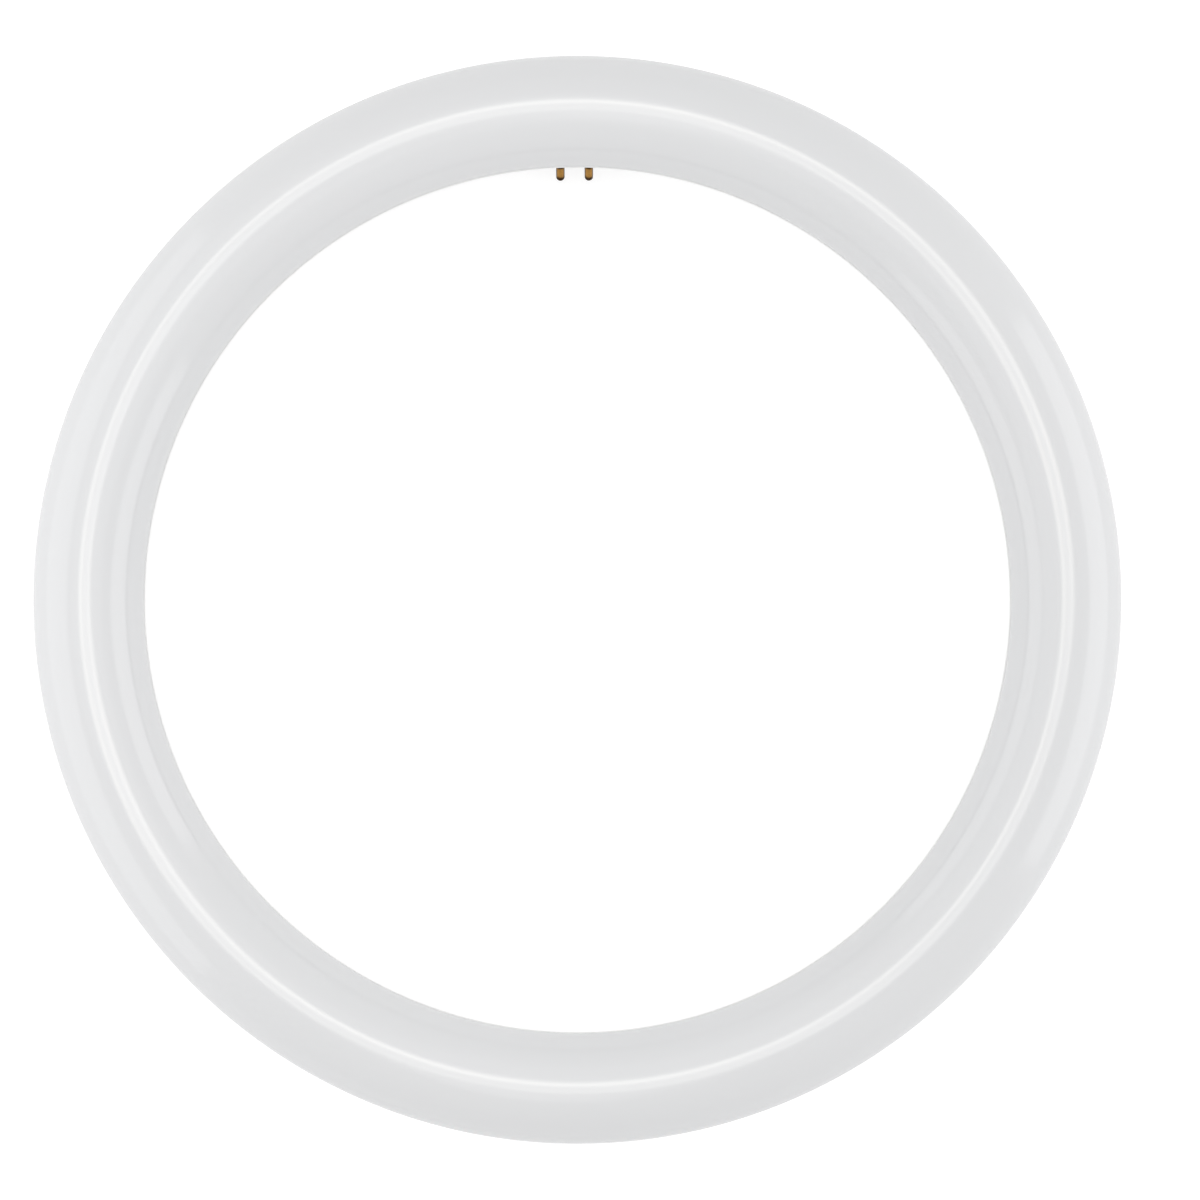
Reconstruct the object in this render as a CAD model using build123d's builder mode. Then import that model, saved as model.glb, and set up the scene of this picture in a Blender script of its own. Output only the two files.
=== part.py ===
"""Circular LED tube with a four-pin base. All sizes are in millimetres.

The ring lies flat, its centre at the origin and its light face up, towards +Z.
The pin base is at +Y on the tube's inner side, tipped down towards the back.
"""

from build123d import *

import os
from math import acos, asin, cos, degrees, radians, sin, sqrt, tan

os.makedirs("parts", exist_ok=True)

# Tube, seen in its section: reach is the distance to the side of the tube's centre
ring_radius = 134.6
rim_reach = 15.4
diffuser_radius = 15.1
diffuser_wall = 1.5
housing_wall = 1.8
seam_height = -1.0
back_land_width = 8.0
housing_radius = sqrt(rim_reach**2 + seam_height**2)
housing_inner_radius = housing_radius - housing_wall
diffuser_inner_radius = diffuser_radius - diffuser_wall
back_height = -sqrt(housing_radius**2 - (back_land_width / 2) ** 2)
floor_height = back_height + housing_wall

# Snap seam: a tongue under the diffuser's edge, beaded at its tip, clicks in the housing's recess
tongue_reach = 13.6
tongue_thickness = 0.9
tongue_depth = 3.3
shoulder_rise = 2.6
bead_size = 0.3
bead_height = 0.9
bead_undercut = 0.3
snap_gap = 0.1
recess_depth = 3.5

# LED boards, four alike
board_count = 4
first_seam_azimuth = 137.0
board_half_width = 8.5
board_thickness = 1.0
board_seat_height = -1.5
board_gap_angle = 1.2
board_top_height = board_seat_height + board_thickness
led_count = 24
led_size = (3.5, 2.8, 0.7)
board_screw_offsets = (7.5, 86.25)

# Small screws
screw_shank_radius = 1.0
screw_head_radius = 1.9
screw_head_height = 1.2
screw_length = 5.0
screw_clearance_radius = 1.2
screw_pilot_radius = 1.03
screw_pilot_depth = 6.5
boss_radius = 2.5

# Gussets inside the housing
gusset_count = 12
gusset_first_azimuth = 15.0
gusset_thickness = 1.2
gusset_inner_reach = 6.8
gusset_outer_reach = 12.5
wall_middle_radius = housing_radius - housing_wall / 2

# Driver
driver_start = 98.6
driver_end = 131.6
driver_half_width = 6.3
driver_board_thickness = 1.2
driver_board_height = -11.6
driver_deck_height = driver_board_height + driver_board_thickness
driver_post_radius = 1.6
driver_peg_radius = 0.8
driver_peg_rise = 0.7
driver_peg_hole_radius = 0.85
driver_peg_azimuths = (99.8, 130.6)
driver_rest_azimuth = 115.2
driver_rest_reach = 5.0
film_half_width = 6.7
film_thickness = 0.4
film_margin_angle = 0.4

# Driver parts: azimuth and reach of each, then its body and its legs
solder_rise = 0.1
leg_root = 0.2
fuse_place = (103.8, -3.8)
fuse_radius = 1.4
fuse_length = 7.0
fuse_bevel = 0.4
fuse_leg_run = 1.2
fuse_leg_width = 0.5
varistor_place = (104.6, 2.4)
disc_radius = 3.5
disc_thickness = 3.2
disc_bevel = 0.7
disc_clearance = 0.9
disc_leg_reach = 2.5
disc_leg_width = 0.6
disc_leg_height = 2.6
film_capacitor_place = (108.3, -3.4)
film_capacitor_body = (5.0, 10.0, 7.4)
film_capacitor_bevel = 0.5
rectifier_place = (108.3, 3.3)
rectifier_body = (4.7, 3.9, 1.9)
rectifier_leg = (0.7, 1.4, 0.25)
filter_inductor_azimuth = 112.4
filter_inductor_size = (8.0, 7.0)
diode_place = (116.0, -4.1)
diode_body = (2.6, 4.3, 2.2)
diode_leg = (1.5, 0.6, 0.25)
input_capacitor_place = (117.4, 2.1)
input_capacitor_size = (8.0, 12.0)
input_capacitor_leg_reach = 1.75
chip_resistor_azimuths = (118.3, 119.2, 120.1)
chip_resistor_reach = -4.1
chip_resistor_body = (2.0, 1.25, 0.5)
driver_chip_azimuth = 121.5
driver_chip_body = (4.9, 3.9, 1.6)
driver_chip_leg = (0.45, 1.1, 0.25)
power_inductor_azimuth = 124.9
power_inductor_size = (8.6, 8.0)
output_capacitor_place = (128.5, 1.0)
output_capacitor_size = (6.3, 9.0)
output_capacitor_leg_reach = 1.25

# Pin base, set on a plane through the tube's centre that faces inward and back
base_tilt = 48.0
pin_spacing_x = 7.92
pin_spacing_y = 6.35
pin_radius = 1.18
pin_shank_radius = 1.6
pin_collar_radius = 1.9
pin_collar_thickness = 0.7
pin_tail_radius = 0.8
pin_tail_rise = 0.8
pin_length = 6.6
block_width = 17.8
block_height = 12.0
block_corner = 2.0
block_chamfer = 0.5
block_face = 15.8
block_back = 9.5
block_wall_x = 1.2
block_wall_y = 0.8
pocket_floor = 11.0
retainer_thickness = 0.8
strap_thickness = 0.4
strap_length = 9.0
strap_width = 2.4
ear_span = 33.0
ear_height = 6.4
ear_back = 9.9
ear_front = 12.9
base_screw_spacing = 27.0
base_screw_floor = 14.2
base_screw_radius = 1.1
base_screw_head_radius = 2.1
base_screw_head_height = 1.4
base_screw_clearance_radius = 1.35
screw_seat_radius = 3.0
screw_seat_rise = 0.7
counterbore_radius = 2.5
window_gap = 0.1
fit_gap = 0.03

# Links and wires
jumper_reach = 5.5
jumper_width = 1.6
jumper_length = 6.4
jumper_thickness = 0.4
lead_radius = 0.65
lead_sides = 6


def ring_point(azimuth, reach, height):
    """A point given by its azimuth, its distance outward from the tube's centre and its height."""
    radius = ring_radius + reach
    return Vector(radius * cos(radians(azimuth)), radius * sin(radians(azimuth)), height)


def section_plane(azimuth):
    """The plane across the tube at an azimuth, x outward from the ring's centre and y up."""
    outward = (cos(radians(azimuth)), sin(radians(azimuth)), 0)
    backward = (sin(radians(azimuth)), -cos(radians(azimuth)), 0)
    return Plane(origin=ring_point(azimuth, 0, 0), x_dir=outward, z_dir=backward)


def deck_plane(azimuth, reach, height):
    """A level plane on the ring, x outward from the ring's centre and y along the tube."""
    outward = (cos(radians(azimuth)), sin(radians(azimuth)), 0)
    return Plane(origin=ring_point(azimuth, reach, height), x_dir=outward, z_dir=(0, 0, 1))


def ring_strip(half_width, start, stop):
    """The flat outline of a strip that follows the ring from one azimuth to another."""
    with BuildSketch() as strip:
        with BuildLine():
            outer = CenterArc((0, 0), ring_radius + half_width, start, stop - start)
            inner = CenterArc((0, 0), ring_radius - half_width, start, stop - start)
            Line(outer @ 0, inner @ 0)
            Line(outer @ 1, inner @ 1)
        make_face()
    return strip.sketch


base_plane = Plane(
    origin=(0, ring_radius, 0),
    x_dir=(1, 0, 0),
    z_dir=(0, -cos(radians(base_tilt)), -sin(radians(base_tilt))),
)
pin_places = {
    "front_left": (-pin_spacing_x / 2, pin_spacing_y / 2),
    "front_right": (pin_spacing_x / 2, pin_spacing_y / 2),
    "back_left": (-pin_spacing_x / 2, -pin_spacing_y / 2),
    "back_right": (pin_spacing_x / 2, -pin_spacing_y / 2),
}
base_screw_places = [(-base_screw_spacing / 2, 0), (base_screw_spacing / 2, 0)]
board_starts = [first_seam_azimuth + n * 360 / board_count for n in range(board_count)]
board_screw_azimuths = [start + offset for start in board_starts for offset in board_screw_offsets]
gusset_azimuths = [gusset_first_azimuth + n * 360 / gusset_count for n in range(gusset_count)]
tongue_tip = seam_height - tongue_depth
recess_reach = tongue_reach + snap_gap
recess_floor = seam_height - recess_depth

# Diffuser: one milky shell over the front half, with a snap tongue along both edges
with BuildPart() as diffuser:
    with BuildSketch(section_plane(0)):
        with BuildLine():
            rim_angle = degrees(asin(seam_height / diffuser_radius))
            shoulder_height = seam_height + shoulder_rise
            shoulder_angle = degrees(asin(shoulder_height / diffuser_inner_radius))
            outside = CenterArc((0, 0), diffuser_radius, rim_angle, 90 - rim_angle)
            inside = CenterArc((0, 0), diffuser_inner_radius, shoulder_angle, 90 - shoulder_angle)
            Polyline(
                outside @ 0,
                (tongue_reach, seam_height),
                (tongue_reach, tongue_tip + bead_height + bead_undercut),
                (tongue_reach + bead_size, tongue_tip + bead_height),
                (tongue_reach, tongue_tip),
                (tongue_reach - tongue_thickness, tongue_tip),
                (tongue_reach - tongue_thickness, shoulder_height - tongue_thickness),
                inside @ 0,
            )
            mirror(about=Plane.YZ)
        make_face()
    revolve(axis=Axis.Z)
diffuser.part.label = "diffuser"
export_step(diffuser.part, "parts/diffuser.step")

# Rear housing: the white trough that carries everything, moulded with its bosses and gussets
with BuildPart() as rear_housing:
    with BuildSketch(section_plane(0)):
        with BuildLine():
            rim_angle = degrees(asin(seam_height / housing_radius))
            land_angle = -degrees(acos(back_land_width / 2 / housing_radius))
            step_angle = degrees(asin(recess_floor / housing_inner_radius))
            floor_angle = degrees(asin(floor_height / housing_inner_radius))
            outside = CenterArc((0, 0), housing_radius, land_angle, rim_angle - land_angle)
            inside = CenterArc((0, 0), housing_inner_radius, floor_angle, step_angle - floor_angle)
            Polyline(
                outside @ 1,
                (recess_reach, seam_height),
                (recess_reach, tongue_tip + bead_height + bead_undercut),
                (recess_reach + bead_size, tongue_tip + bead_height),
                (recess_reach, recess_floor),
                inside @ 1,
            )
            Line(inside @ 0, (0, floor_height))
            Line((0, back_height), outside @ 0)
            mirror(about=Plane.YZ)
        make_face()
    revolve(axis=Axis.Z)

    # Gussets on both sides stiffen the trough and carry the boards' edges
    with BuildSketch(*[section_plane(azimuth) for azimuth in gusset_azimuths]):
        with BuildLine():
            low_angle = -degrees(acos(gusset_inner_reach / wall_middle_radius))
            high_angle = -degrees(acos(gusset_outer_reach / wall_middle_radius))
            foot = CenterArc((0, 0), wall_middle_radius, low_angle, high_angle - low_angle)
            Polyline(
                foot @ 1,
                (gusset_outer_reach, board_seat_height),
                (gusset_inner_reach, board_seat_height),
                foot @ 0,
            )
        make_face()
        mirror(about=Plane.YZ)
    extrude(amount=gusset_thickness / 2, both=True)

    # Screw bosses under the LED boards
    boss_foot = floor_height - housing_wall / 4
    with BuildSketch(Plane.XY.offset(boss_foot)):
        with Locations(*[ring_point(azimuth, 0, 0) for azimuth in board_screw_azimuths]):
            Circle(boss_radius)
    extrude(amount=board_seat_height - boss_foot)
    with BuildSketch(Plane.XY.offset(board_seat_height)):
        with Locations(*[ring_point(azimuth, 0, 0) for azimuth in board_screw_azimuths]):
            Circle(screw_pilot_radius)
    extrude(amount=-screw_pilot_depth, mode=Mode.SUBTRACT)

    # Posts under the driver board, the end ones with a peg that goes through it
    peg_points = [ring_point(azimuth, 0, 0) for azimuth in driver_peg_azimuths]
    rest_points = [ring_point(driver_rest_azimuth, side * driver_rest_reach, 0) for side in (-1, 1)]
    with BuildSketch(Plane.XY.offset(boss_foot)):
        with Locations(*peg_points, *rest_points):
            Circle(driver_post_radius)
    extrude(amount=driver_board_height - boss_foot)
    with BuildSketch(Plane.XY.offset(driver_board_height)):
        with Locations(*peg_points):
            Circle(driver_peg_radius)
    extrude(amount=driver_board_thickness + driver_peg_rise)

    # Window for the base block, with a screw seat on each side of it
    with BuildSketch(base_plane.offset(ear_front)):
        with Locations(*base_screw_places):
            Circle(screw_seat_radius)
    extrude(amount=base_screw_floor + screw_seat_rise - ear_front)
    with BuildSketch(base_plane.offset(block_back)):
        RectangleRounded(
            block_width + 2 * window_gap, block_height + 2 * window_gap, block_corner + window_gap
        )
    extrude(amount=pin_length + block_face - block_back, mode=Mode.SUBTRACT)
    with BuildSketch(base_plane.offset(ear_front)):
        with Locations(*base_screw_places):
            Circle(base_screw_clearance_radius)
    extrude(amount=base_screw_floor - ear_front, mode=Mode.SUBTRACT)
    with BuildSketch(base_plane.offset(base_screw_floor)):
        with Locations(*base_screw_places):
            Circle(counterbore_radius)
    extrude(amount=pin_length, mode=Mode.SUBTRACT)
rear_housing.part.label = "rear_housing"
export_step(rear_housing.part, "parts/rear_housing.step")

# Base block: stands in the window with its ears behind the wall, and holds the four pins
with BuildPart() as base_block:
    with BuildSketch(base_plane.offset(block_back)):
        RectangleRounded(block_width, block_height, block_corner)
    extrude(amount=block_face - block_back)
    front_face = base_block.faces().sort_by(Axis(base_plane.origin, base_plane.z_dir))[-1]
    chamfer(front_face.edges(), block_chamfer)
    with BuildSketch(base_plane.offset(ear_back)):
        RectangleRounded(ear_span, ear_height, block_corner)
    extrude(amount=ear_front - ear_back)
    with BuildSketch(base_plane.offset(ear_back)):
        with Locations(*base_screw_places):
            Circle(base_screw_radius + fit_gap)
    extrude(amount=ear_front - ear_back, mode=Mode.SUBTRACT)
    with BuildSketch(base_plane.offset(block_back)):
        RectangleRounded(
            block_width - 2 * block_wall_x, block_height - 2 * block_wall_y, block_corner - block_wall_y
        )
    extrude(amount=pocket_floor - block_back, mode=Mode.SUBTRACT)
    with BuildSketch(base_plane.offset(pocket_floor)):
        with Locations(*pin_places.values()):
            Circle(pin_shank_radius + fit_gap)
    extrude(amount=block_face - pocket_floor, mode=Mode.SUBTRACT)
base_block.part.label = "base_block"
export_step(base_block.part, "parts/base_block.step")

# Contact pins: turned brass, pushed in from behind up to their collar
retainer_front = pocket_floor - pin_collar_thickness
retainer_back = retainer_front - retainer_thickness
strap_back = retainer_back - strap_thickness
pin_tail_end = strap_back - pin_tail_rise
for place, (x, y) in pin_places.items():
    axis_point = base_plane.from_local_coords((x, y, 0))
    pin_plane = Plane(origin=axis_point, x_dir=(1, 0, 0), z_dir=-base_plane.y_dir)
    with BuildPart() as contact_pin:
        with BuildSketch(pin_plane):
            with BuildLine():
                round_end = CenterArc((0, block_face + pin_length - pin_radius), pin_radius, 0, 90)
                Polyline(
                    round_end @ 0,
                    (pin_radius, block_face),
                    (pin_shank_radius, block_face),
                    (pin_shank_radius, pocket_floor),
                    (pin_collar_radius, pocket_floor),
                    (pin_collar_radius, retainer_front),
                    (pin_tail_radius, retainer_front),
                    (pin_tail_radius, pin_tail_end),
                    (0, pin_tail_end),
                    round_end @ 1,
                )
            make_face()
        revolve(axis=Axis(axis_point, base_plane.z_dir))
    contact_pin.part.label = f"contact_pin_{place}"
    export_step(contact_pin.part, f"parts/contact_pin_{place}.step")

# Pin retainer: the plate that closes the block's pocket and stops the pins from going back
with BuildPart() as pin_retainer:
    with BuildSketch(base_plane.offset(retainer_back)):
        RectangleRounded(
            block_width - 2 * block_wall_x - 2 * window_gap,
            block_height - 2 * block_wall_y - 2 * window_gap,
            block_corner - block_wall_y - window_gap,
        )
        with Locations(*pin_places.values()):
            Circle(pin_tail_radius + fit_gap, mode=Mode.SUBTRACT)
    extrude(amount=retainer_thickness)
pin_retainer.part.label = "pin_retainer"
export_step(pin_retainer.part, "parts/pin_retainer.step")

# Pin straps: each joins the two pins of one side, under their riveted tails
for side, x in (("left", -pin_spacing_x / 2), ("right", pin_spacing_x / 2)):
    with BuildPart() as pin_strap:
        with BuildSketch(base_plane.offset(strap_back)):
            with Locations((x, 0)):
                SlotOverall(strap_length, strap_width, rotation=90)
            with Locations((x, pin_spacing_y / 2), (x, -pin_spacing_y / 2)):
                Circle(pin_tail_radius + fit_gap, mode=Mode.SUBTRACT)
        extrude(amount=strap_thickness)
    pin_strap.part.label = f"pin_strap_{side}"
    export_step(pin_strap.part, f"parts/pin_strap_{side}.step")

# Base screws: two, driven from outside through the wall into the block's ears
with BuildPart() as base_screws:
    with BuildSketch(base_plane.offset(base_screw_floor)):
        with Locations(*base_screw_places):
            Circle(base_screw_head_radius)
    extrude(amount=base_screw_head_height)
    with BuildSketch(base_plane.offset(base_screw_floor)):
        with Locations(*base_screw_places):
            Circle(base_screw_radius)
    extrude(amount=-screw_length)
base_screws.part.label = "base_screws"
export_step(base_screws.part, "parts/base_screws.step")

# LED boards and their LEDs: four equal arcs that meet end to end under the diffuser
for number, start in enumerate(board_starts, 1):
    with BuildPart() as led_board:
        with BuildSketch(Plane.XY.offset(board_seat_height)):
            add(
                ring_strip(
                    board_half_width,
                    start + board_gap_angle / 2,
                    start + 360 / board_count - board_gap_angle / 2,
                )
            )
            with Locations(*[ring_point(start + offset, 0, 0) for offset in board_screw_offsets]):
                Circle(screw_clearance_radius, mode=Mode.SUBTRACT)
        extrude(amount=board_thickness)
    led_board.part.label = f"led_board_{number}"
    export_step(led_board.part, f"parts/led_board_{number}.step")

    led_pitch = 360 / board_count / led_count
    led_azimuths = [start + (n + 0.5) * led_pitch for n in range(led_count)]
    with BuildPart() as leds:
        with BuildSketch(*[deck_plane(azimuth, 0, board_top_height) for azimuth in led_azimuths]):
            Rectangle(led_size[0], led_size[1])
        extrude(amount=led_size[2])
    leds.part.label = f"leds_{number}"
    export_step(leds.part, f"parts/leds_{number}.step")

# Board screws: two to a board, through the LED boards into the housing's bosses
with BuildPart() as board_screws:
    screw_points = [ring_point(azimuth, 0, 0) for azimuth in board_screw_azimuths]
    with BuildSketch(Plane.XY.offset(board_top_height)):
        with Locations(*screw_points):
            Circle(screw_head_radius)
    extrude(amount=screw_head_height)
    with BuildSketch(Plane.XY.offset(board_top_height)):
        with Locations(*screw_points):
            Circle(screw_shank_radius)
    extrude(amount=-screw_length)
board_screws.part.label = "board_screws"
export_step(board_screws.part, "parts/board_screws.step")

# Board jumpers: soldered links over three of the four seams, two to a seam
jumper_planes = [
    deck_plane(seam, reach, board_top_height)
    for seam in board_starts[1:]
    for reach in (-jumper_reach, jumper_reach)
]
with BuildPart() as board_jumpers:
    with BuildSketch(*jumper_planes):
        Rectangle(jumper_width, jumper_length)
    extrude(amount=jumper_thickness)
board_jumpers.part.label = "board_jumpers"
export_step(board_jumpers.part, "parts/board_jumpers.step")

# Driver board: a curved strip on four posts behind the LED boards
with BuildPart() as driver_board:
    with BuildSketch(Plane.XY.offset(driver_board_height)):
        add(ring_strip(driver_half_width, driver_start, driver_end))
        with Locations(*[ring_point(azimuth, 0, 0) for azimuth in driver_peg_azimuths]):
            Circle(driver_peg_hole_radius, mode=Mode.SUBTRACT)
    extrude(amount=driver_board_thickness)
driver_board.part.label = "driver_board"
export_step(driver_board.part, "parts/driver_board.step")

# Driver insulator: a film between the driver and the LED boards' metal
with BuildPart() as driver_insulator:
    film_start = driver_start - film_margin_angle
    film_end = driver_end + film_margin_angle
    with BuildSketch(Plane.XY.offset(board_seat_height)):
        add(ring_strip(film_half_width, film_start, film_end))
    extrude(amount=-film_thickness)
driver_insulator.part.label = "driver_insulator"
export_step(driver_insulator.part, "parts/driver_insulator.step")


def bent_legs(deck, side_reach, foot_distance, root_distance, height):
    """Two flat legs, side by side: up from the deck, then along its y into a body's end."""
    leg_width = 0.6
    leg_thickness = 0.4
    with BuildPart() as legs:
        for side in (-1, 1):
            leg_plane = Plane(
                deck.from_local_coords((side * side_reach, 0, 0)), x_dir=deck.y_dir, z_dir=deck.x_dir
            )
            with BuildSketch(leg_plane):
                with BuildLine():
                    Polyline(
                        (foot_distance, 0),
                        (foot_distance, height + leg_thickness / 2),
                        (root_distance, height + leg_thickness / 2),
                        (root_distance, height - leg_thickness / 2),
                        (foot_distance + leg_thickness, height - leg_thickness / 2),
                        (foot_distance + leg_thickness, 0),
                        close=True,
                    )
                make_face()
            extrude(amount=leg_width / 2, both=True)
    return legs.part


def can_capacitor(name, deck, size, leg_reach):
    """A capacitor lying on its side along the deck's y, with a crimp near the end that has its legs."""
    diameter, length = size
    crimp_depth = 0.4
    crimp_height = 1.6
    leg_run = 1.4
    radius = diameter / 2
    axis_height = radius + solder_rise
    centre = deck.from_local_coords((0, -length / 2, axis_height))
    with BuildPart() as can:
        with BuildSketch(Plane(centre, x_dir=deck.x_dir, z_dir=deck.z_dir)):
            with BuildLine():
                Polyline(
                    (0, 0),
                    (radius, 0),
                    (radius, crimp_height - crimp_depth),
                    (radius - crimp_depth, crimp_height),
                    (radius, crimp_height + crimp_depth),
                    (radius, length),
                    (0, length),
                    close=True,
                )
            make_face()
        revolve(axis=Axis(centre, deck.y_dir))
        add(bent_legs(deck, leg_reach, -length / 2 - leg_run, -length / 2 + solder_rise, axis_height))
    can.part.label = name
    export_step(can.part, f"parts/{name}.step")


def drum_inductor(name, deck, size):
    """A drum core standing on the deck, and the coil wound in its waist, as two pieces."""
    diameter, height = size
    flange = 1.2
    waist_radius = diameter / 4
    coil_gap = 0.25
    radius = diameter / 2
    turning_plane = Plane(deck.origin, x_dir=deck.x_dir, z_dir=-deck.y_dir)
    with BuildPart() as core:
        with BuildSketch(turning_plane):
            with BuildLine():
                Polyline(
                    (0, 0),
                    (radius, 0),
                    (radius, flange),
                    (waist_radius, flange),
                    (waist_radius, height - flange),
                    (radius, height - flange),
                    (radius, height),
                    (0, height),
                    close=True,
                )
            make_face()
        revolve(axis=Axis(deck.origin, deck.z_dir))
    core.part.label = f"{name}_core"
    export_step(core.part, f"parts/{name}_core.step")
    with BuildPart() as winding:
        with BuildSketch(turning_plane):
            with Locations(((waist_radius + radius - coil_gap) / 2, height / 2)):
                Rectangle(radius - coil_gap - waist_radius, height - 2 * flange)
        revolve(axis=Axis(deck.origin, deck.z_dir))
    winding.part.label = f"{name}_winding"
    export_step(winding.part, f"parts/{name}_winding.step")


def chip_package(name, deck, body, leg_count, leg_size):
    """A moulded package with bent flat legs on its two ends along the deck's y."""
    width, length, height = body
    leg_width, leg_reach, leg_thickness = leg_size
    pitch = width / leg_count
    middle = height / 2
    bevel = 0.25
    with BuildPart() as package:
        with BuildSketch(deck.offset(solder_rise)):
            Rectangle(width, length)
        extrude(amount=height - solder_rise)
        top_face = package.faces().sort_by(Axis.Z)[-1]
        chamfer(top_face.edges(), bevel)
        for column in range(leg_count):
            x = (column - (leg_count - 1) / 2) * pitch
            leg_plane = Plane(deck.from_local_coords((x, 0, 0)), x_dir=deck.y_dir, z_dir=deck.x_dir)
            with BuildSketch(leg_plane):
                with BuildLine():
                    Polyline(
                        (length / 2 - leg_root, middle),
                        (length / 2 + leg_reach / 2, middle),
                        (length / 2 + leg_reach / 2, leg_thickness),
                        (length / 2 + leg_reach, leg_thickness),
                        (length / 2 + leg_reach, 0),
                        (length / 2 + leg_reach / 2 - leg_thickness, 0),
                        (length / 2 + leg_reach / 2 - leg_thickness, middle - leg_thickness),
                        (length / 2 - leg_root, middle - leg_thickness),
                        close=True,
                    )
                make_face()
                mirror(about=Plane.YZ)
            extrude(amount=leg_width / 2, both=True)
    package.part.label = name
    export_step(package.part, f"parts/{name}.step")


# Fuse resistor: a coated barrel between two bent legs, one at each end
fuse_deck = deck_plane(*fuse_place, driver_deck_height)
fuse_height = fuse_radius + solder_rise
fuse_centre = fuse_deck.from_local_coords((0, -fuse_length / 2, fuse_height))
with BuildPart() as fuse_resistor:
    with BuildSketch(Plane(fuse_centre, x_dir=fuse_deck.x_dir, z_dir=fuse_deck.z_dir)):
        with BuildLine():
            Polyline(
                (0, 0),
                (fuse_radius - fuse_bevel, 0),
                (fuse_radius, fuse_bevel),
                (fuse_radius, fuse_length - fuse_bevel),
                (fuse_radius - fuse_bevel, fuse_length),
                (0, fuse_length),
                close=True,
            )
        make_face()
    revolve(axis=Axis(fuse_centre, fuse_deck.y_dir))
    leg_top = fuse_height + fuse_leg_width / 2
    leg_end = fuse_length / 2 + fuse_leg_run + solder_rise
    with BuildSketch(Plane(fuse_deck.origin, x_dir=fuse_deck.y_dir, z_dir=fuse_deck.x_dir)):
        for side in (-1, 1):
            with Locations((side * (fuse_length / 2 + fuse_leg_run / 2), fuse_height)):
                Rectangle(fuse_leg_run + 2 * solder_rise, fuse_leg_width)
            with Locations((side * (leg_end - fuse_leg_width / 2), leg_top / 2)):
                Rectangle(fuse_leg_width, leg_top)
    extrude(amount=fuse_leg_width / 2, both=True)
fuse_resistor.part.label = "fuse_resistor"
export_step(fuse_resistor.part, "parts/fuse_resistor.step")

# Varistor: a dipped disc that stands across the board on two legs
varistor_deck = deck_plane(*varistor_place, driver_deck_height)
disc_height = disc_radius + disc_clearance
with BuildPart() as varistor:
    with BuildSketch(Plane(varistor_deck.origin, x_dir=varistor_deck.x_dir, z_dir=-varistor_deck.y_dir)):
        with Locations((0, disc_height)):
            Circle(disc_radius)
    extrude(amount=disc_thickness / 2, both=True)
    chamfer(varistor.edges().filter_by(GeomType.CIRCLE), disc_bevel)
    with BuildSketch(varistor_deck):
        with Locations((-disc_leg_reach, 0), (disc_leg_reach, 0)):
            Rectangle(disc_leg_width, disc_leg_width)
    extrude(amount=disc_leg_height)
varistor.part.label = "varistor"
export_step(varistor.part, "parts/varistor.step")

# Film capacitor: a potted box
film_deck = deck_plane(*film_capacitor_place, driver_deck_height)
with BuildPart() as film_capacitor:
    with BuildSketch(film_deck.offset(solder_rise)):
        Rectangle(film_capacitor_body[0], film_capacitor_body[1])
    extrude(amount=film_capacitor_body[2])
    chamfer(film_capacitor.faces().sort_by(Axis.Z)[-1].edges(), film_capacitor_bevel)
film_capacitor.part.label = "film_capacitor"
export_step(film_capacitor.part, "parts/film_capacitor.step")

# Moulded packages: the rectifier, the driver chip and the output diode
rectifier_deck = deck_plane(*rectifier_place, driver_deck_height)
chip_package("bridge_rectifier", rectifier_deck, rectifier_body, 2, rectifier_leg)
driver_chip_deck = deck_plane(driver_chip_azimuth, 0, driver_deck_height)
chip_package("driver_chip", driver_chip_deck, driver_chip_body, 4, driver_chip_leg)
diode_deck = deck_plane(*diode_place, driver_deck_height)
chip_package("output_diode", diode_deck, diode_body, 1, diode_leg)

# Coils: the filter's and the converter's, each a drum core and its winding
filter_inductor_deck = deck_plane(filter_inductor_azimuth, 0, driver_deck_height)
drum_inductor("filter_inductor", filter_inductor_deck, filter_inductor_size)
power_inductor_deck = deck_plane(power_inductor_azimuth, 0, driver_deck_height)
drum_inductor("power_inductor", power_inductor_deck, power_inductor_size)

# Can capacitors: the input one lies along the board, the output one across it
input_capacitor_deck = deck_plane(*input_capacitor_place, driver_deck_height)
can_capacitor("input_capacitor", input_capacitor_deck, input_capacitor_size, input_capacitor_leg_reach)
output_place = deck_plane(*output_capacitor_place, driver_deck_height)
output_capacitor_deck = Plane(output_place.origin, x_dir=-output_place.y_dir, z_dir=(0, 0, 1))
can_capacitor(
    "output_capacitor", output_capacitor_deck, output_capacitor_size, output_capacitor_leg_reach
)

# Chip resistors: three in a row beside the input capacitor
resistor_decks = [
    deck_plane(azimuth, chip_resistor_reach, driver_deck_height) for azimuth in chip_resistor_azimuths
]
with BuildPart() as chip_resistors:
    with BuildSketch(*resistor_decks):
        Rectangle(chip_resistor_body[0], chip_resistor_body[1])
    extrude(amount=chip_resistor_body[2])
chip_resistors.part.label = "chip_resistors"
export_step(chip_resistors.part, "parts/chip_resistors.step")

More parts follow.
